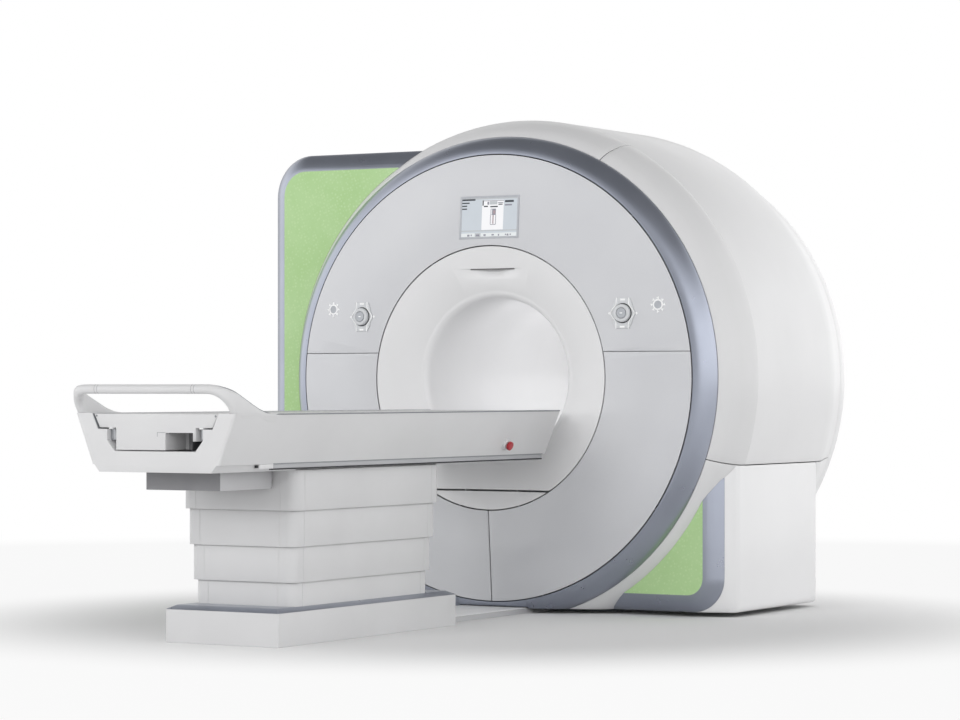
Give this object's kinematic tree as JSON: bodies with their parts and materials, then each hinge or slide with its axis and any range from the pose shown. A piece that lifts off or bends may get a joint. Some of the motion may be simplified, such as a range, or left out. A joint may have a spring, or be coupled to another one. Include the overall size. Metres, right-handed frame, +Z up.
{
  "type": "mri scanner",
  "caption": "Whole-body MRI scanner: round gantry with a wide bore, and a lifting patient table on a telescoping pedestal whose top slides into the bore.",
  "frame": {"origin": "on the floor under the middle of the bore, halfway between the gantry's front and rear", "axes": "+Y along the bore from the patient table into the gantry, +Z up, +X to the right of someone at the foot of the table who looks at the gantry"},
  "size_m": [2.402, 3.9575, 2.1719],
  "materials": {
    "cover_white": "satin",
    "disc_grey": "gloss",
    "band_pale": "satin",
    "trim_slate": "satin",
    "panel_green": "matte",
    "control_grey": "matte",
    "dial_white": "satin",
    "key_grey": "satin",
    "screen_glass": "gloss",
    "laser_glass": "gloss",
    "bore_white": "satin",
    "bridge_white": "matte",
    "vessel_metal": "satin",
    "cold_head_steel": "satin",
    "coil_resin": "matte",
    "coil_plastic": "matte",
    "wedge_rubber": "matte",
    "bracket_metal": "satin",
    "base_steel": "matte",
    "duct_metal": "satin",
    "table_white": "satin",
    "pedestal_white": "satin",
    "rail_metal": "satin",
    "column_metal": "satin",
    "motor_metal": "matte",
    "glide_plastic": "matte",
    "belt_rubber": "matte",
    "pulley_metal": "satin",
    "stop_red": "gloss"
  },
  "bodies": {
    "gantry": {"round_cover": "cover_white", "lower_round_cover": "cover_white", "barrel_cover": "cover_white", "rear_cover": "cover_white", "rear_round_cover": "cover_white", "tower_cover": "cover_white", "base_cover": "cover_white", "front_disc_upper": "disc_grey", "front_disc_lower": "disc_grey", "band_upper": "band_pale", "band_lower": "band_pale", "ring_trim": "trim_slate", "panel_trims": "trim_slate", "green_panels": "panel_green", "display_housing": "control_grey", "control_units": "control_grey", "display_screen": "screen_glass", "laser_window": "laser_glass", "bore_liner": "bore_white", "bore_bridge": "bridge_white", "magnet_vessel": "vessel_metal", "cold_head": "cold_head_steel", "gradient_coil": "coil_resin", "body_coil": "coil_plastic", "gradient_wedges": "wedge_rubber", "cover_brackets": "bracket_metal", "gantry_base": "base_steel", "floor_duct": "duct_metal", "table_base_cover": "pedestal_white", "table_base_deck": "trim_slate", "table_base_plate": "base_steel", "lift_motor": "motor_metal", "pedestal_cover_lower": "pedestal_white", "column_lower": "column_metal"},
    "table": {"table_frame": "base_steel", "trough": "table_white", "handle_bar": "table_white", "side_rails": "rail_metal", "underframe_box": "pedestal_white", "guide_rails": "rail_metal", "pedestal_cover_upper": "pedestal_white", "column_upper": "column_metal", "drive_motor": "motor_metal", "drive_belt": "belt_rubber"},
    "segment_2": {"pedestal_cover_second": "pedestal_white"},
    "segment_3": {"pedestal_cover_third": "pedestal_white"},
    "columns": {"column_middle": "column_metal"},
    "top": {"tabletop": "table_white", "tabletop_glides": "glide_plastic"},
    "pulley_foot": {"drive_pulley": "pulley_metal"},
    "pulley_head": {"idler_pulley": "pulley_metal"},
    "stop_right": {"stop_button_right": "stop_red"},
    "stop_left": {"stop_button_left": "stop_red"},
    "dial_r": {"dial_right": "dial_white"},
    "dial_l": {"dial_left": "dial_white"},
    "dial_push_r": {"dial_button_right": "key_grey"},
    "dial_push_l": {"dial_button_left": "key_grey"},
    "light_r": {"light_key_right": "key_grey"},
    "light_l": {"light_key_left": "key_grey"}
  },
  "joints": [
    {"name": "table_lift", "type": "slide", "parent": "gantry", "child": "table", "axis": [0, 0, 1], "range_m": [-0.355, 0]},
    {"name": "cover_second", "type": "slide", "parent": "gantry", "child": "segment_2", "axis": [0, 0, 1], "range_m": [-0.228, 0]},
    {"name": "cover_third", "type": "slide", "parent": "gantry", "child": "segment_3", "axis": [0, 0, 1], "range_m": [-0.092, 0]},
    {"name": "column_stage", "type": "slide", "parent": "gantry", "child": "columns", "axis": [0, 0, 1], "range_m": [-0.178, 0]},
    {"name": "top_slide", "type": "slide", "parent": "table", "child": "top", "axis": [0, 1, 0], "range_m": [0, 1.9]},
    {"name": "drive_pulley_turn", "type": "hinge", "parent": "table", "child": "pulley_foot", "pos_m": [0, -3.0315, 0.708], "axis": [-1, 0, 0], "range_deg": [0, 3822]},
    {"name": "idler_pulley_turn", "type": "hinge", "parent": "table", "child": "pulley_head", "pos_m": [0, -0.9265, 0.708], "axis": [-1, 0, 0], "range_deg": [0, 3822]},
    {"name": "emergency_right", "type": "slide", "parent": "table", "child": "stop_right", "axis": [-0.9291, 0, 0.3697], "range_m": [0, 0.004], "stiffness_N_per_m": 900},
    {"name": "emergency_left", "type": "slide", "parent": "table", "child": "stop_left", "axis": [0.9291, 0, 0.3697], "range_m": [0, 0.004], "stiffness_N_per_m": 900},
    {"name": "dial_turn_right", "type": "hinge", "parent": "gantry", "child": "dial_r", "pos_m": [0.66, -0.71525, 1.3], "axis": [-0.0689, 0.9972, -0.0287], "continuous": true},
    {"name": "dial_turn_left", "type": "hinge", "parent": "gantry", "child": "dial_l", "pos_m": [-0.66, -0.71525, 1.3], "axis": [0.0689, 0.9972, -0.0287], "continuous": true},
    {"name": "dial_press_right", "type": "slide", "parent": "dial_r", "child": "dial_push_r", "axis": [-0.0689, 0.9972, -0.0287], "range_m": [0, 0.003], "stiffness_N_per_m": 400},
    {"name": "dial_press_left", "type": "slide", "parent": "dial_l", "child": "dial_push_l", "axis": [0.0689, 0.9972, -0.0287], "range_m": [0, 0.003], "stiffness_N_per_m": 400},
    {"name": "light_press_right", "type": "slide", "parent": "gantry", "child": "light_r", "axis": [-0.0689, 0.9972, -0.0287], "range_m": [0, 0.0015], "stiffness_N_per_m": 600},
    {"name": "light_press_left", "type": "slide", "parent": "gantry", "child": "light_l", "axis": [0.0689, 0.9972, -0.0287], "range_m": [0, 0.0015], "stiffness_N_per_m": 600}
  ],
  "couplings": [
    {"joint": "cover_second", "follows": "table_lift", "ratio": 0.64},
    {"joint": "cover_third", "follows": "table_lift", "ratio": 0.257},
    {"joint": "column_stage", "follows": "table_lift", "ratio": 0.5},
    {"joint": "drive_pulley_turn", "follows": "top_slide", "rad_per_m": 35.088},
    {"joint": "idler_pulley_turn", "follows": "top_slide", "rad_per_m": 35.088}
  ]
}
